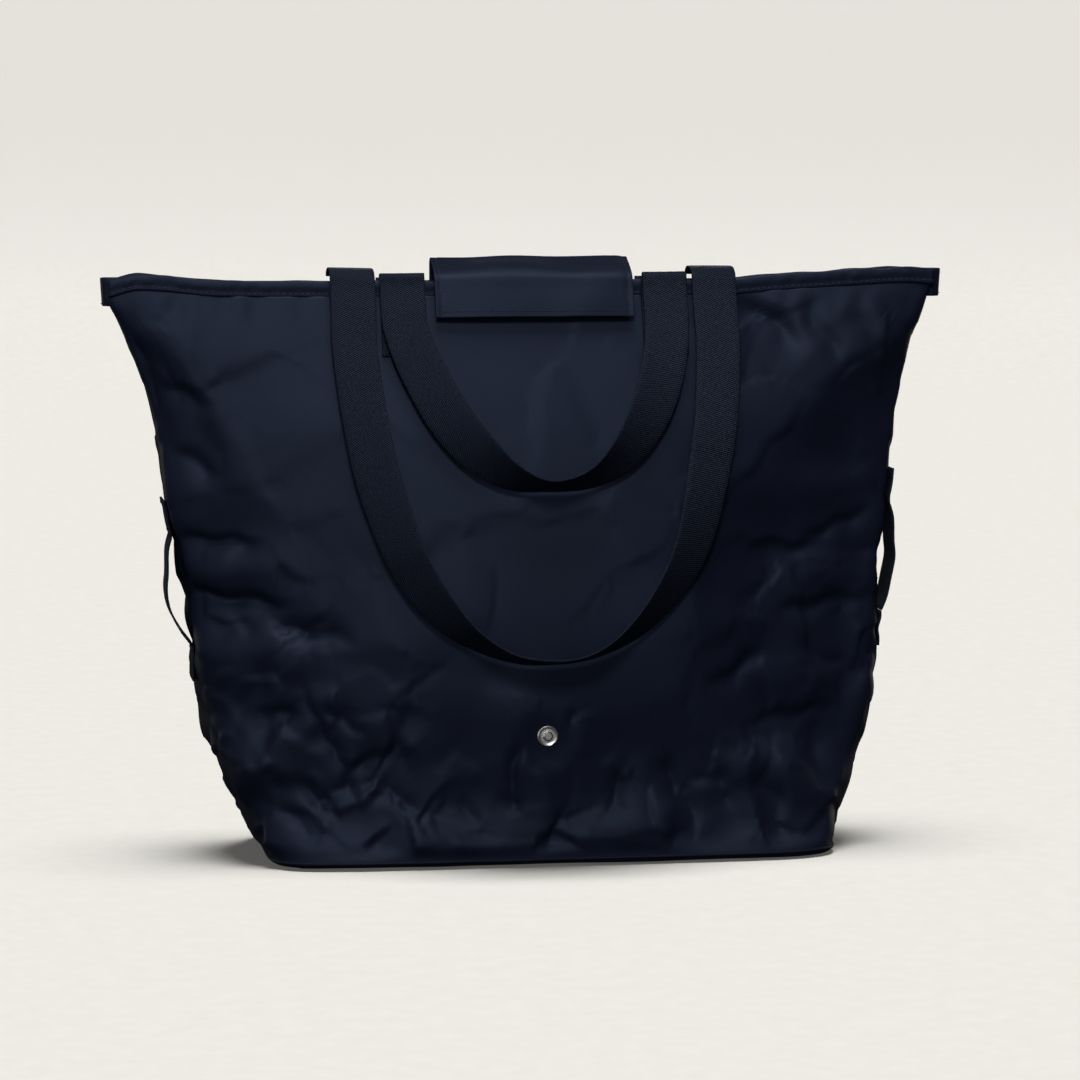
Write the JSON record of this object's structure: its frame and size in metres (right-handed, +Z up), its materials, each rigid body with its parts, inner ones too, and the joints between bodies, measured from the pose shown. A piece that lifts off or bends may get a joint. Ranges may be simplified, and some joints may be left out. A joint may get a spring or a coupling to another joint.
{
  "type": "foldable tote bag",
  "caption": "Foldable nylon tote bag with a zipped wide mouth, boxed base, snap flap, long webbing handles and side grab handles.",
  "frame": {"origin": "the middle of the base, on the surface that the bag stands on", "axes": "+X along the mouth to the bag's left-hand side as it is worn facing the viewer's right, +Y from the front face to the back, +Z up"},
  "size_m": [0.5928, 0.2047, 0.425],
  "materials": {
    "body_nylon": "satin woven nylon, deep navy",
    "lining_nylon": "plain woven nylon",
    "webbing": "herringbone webbing, blue-black",
    "piping": "cloth-covered cord",
    "binding_tape": "grosgrain tape",
    "zip_tape": "fine herringbone tape",
    "zip_coil": "moulded coil",
    "zip_metal": "semi-gloss paint",
    "snap_metal": "bright nickel plate"
  },
  "bodies": {
    "bag": {"front_panel": "body_nylon", "base_panel": "body_nylon", "base_piping": "piping", "front_hem": "body_nylon", "back_hem": "body_nylon", "left_end_tab": "body_nylon", "right_end_tab": "body_nylon", "zip_tape_front": "zip_tape", "zip_tape_back": "zip_tape", "zip_coil_front": "zip_coil", "zip_coil_back": "zip_coil", "zip_left_stop": "zip_coil", "zip_right_stop": "zip_coil", "front_handle_anchor_left": "webbing", "front_handle_anchor_right": "webbing", "upper_snap_stud": "snap_metal", "upper_snap_washer": "snap_metal", "lower_snap_stud": "snap_metal", "lower_snap_washer": "snap_metal"},
    "back_side": {"back_panel": "body_nylon", "back_handle_anchor_left": "webbing", "back_handle_anchor_right": "webbing"},
    "side_walls": {"left_gusset": "body_nylon", "right_gusset": "body_nylon", "left_seam_tape": "binding_tape", "right_seam_tape": "binding_tape", "left_side_handle_top_end": "webbing", "left_side_handle_bottom_end": "webbing", "right_side_handle_top_end": "webbing", "right_side_handle_bottom_end": "webbing"},
    "flap": {"flap_outer": "body_nylon", "flap_lining": "lining_nylon", "flap_snap_socket": "snap_metal"},
    "front_handle": {"front_handle": "webbing"},
    "back_handle": {"back_handle": "webbing"},
    "left_side_handle": {"left_side_handle": "webbing"},
    "right_side_handle": {"right_side_handle": "webbing"},
    "zip_slider": {"zip_slider": "zip_metal"},
    "zip_puller": {"zip_puller": "zip_metal"}
  },
  "joints": [
    {"name": "flap_open", "type": "hinge", "parent": "bag", "child": "flap", "pos_m": [0, 0.0136, 0.404], "axis": [-1, 0, 0], "range_deg": [0, 165]},
    {"name": "front_handle_swing", "type": "hinge", "parent": "bag", "child": "front_handle", "pos_m": [0, -0.0118, 0.4126], "axis": [-1, 0, 0], "range_deg": [0, 165]},
    {"name": "back_handle_swing", "type": "hinge", "parent": "bag", "child": "back_handle", "pos_m": [0, 0.0118, 0.4126], "axis": [-1, 0, 0], "range_deg": [0, 180]},
    {"name": "flatten", "type": "hinge", "parent": "bag", "child": "back_side", "pos_m": [0, 0.0104, 0.4006], "axis": [-1, 0, 0], "range_deg": [0, 16], "deforming": ["base_panel", "base_piping", "left_gusset", "right_gusset"]},
    {"name": "side_walls_fold", "type": "hinge", "parent": "bag", "child": "side_walls", "pos_m": [0, 0.0104, 0.4006], "axis": [-1, 0, 0], "range_deg": [0, 8]},
    {"name": "left_side_handle_sway", "type": "hinge", "parent": "side_walls", "child": "left_side_handle", "pos_m": [-0.24748, 0, 0.1909], "axis": [-0.1615, 0, 0.9869], "range_deg": [-10, 10], "stiffness_Nm_per_rad": 0.02},
    {"name": "right_side_handle_sway", "type": "hinge", "parent": "side_walls", "child": "right_side_handle", "pos_m": [0.2501, 0, 0.2069], "axis": [0.1615, 0, 0.9869], "range_deg": [-10, 10], "stiffness_Nm_per_rad": 0.02},
    {"name": "zip_open", "type": "slide", "parent": "bag", "child": "zip_slider", "axis": [-1, 0, 0], "range_m": [0, 0.5]},
    {"name": "zip_puller_swing", "type": "hinge", "parent": "zip_slider", "child": "zip_puller", "pos_m": [0.2633, 0, 0.408], "axis": [0, 1, 0], "range_deg": [0, 150]}
  ],
  "couplings": [
    {"joint": "side_walls_fold", "follows": "flatten", "ratio": 0.5}
  ]
}
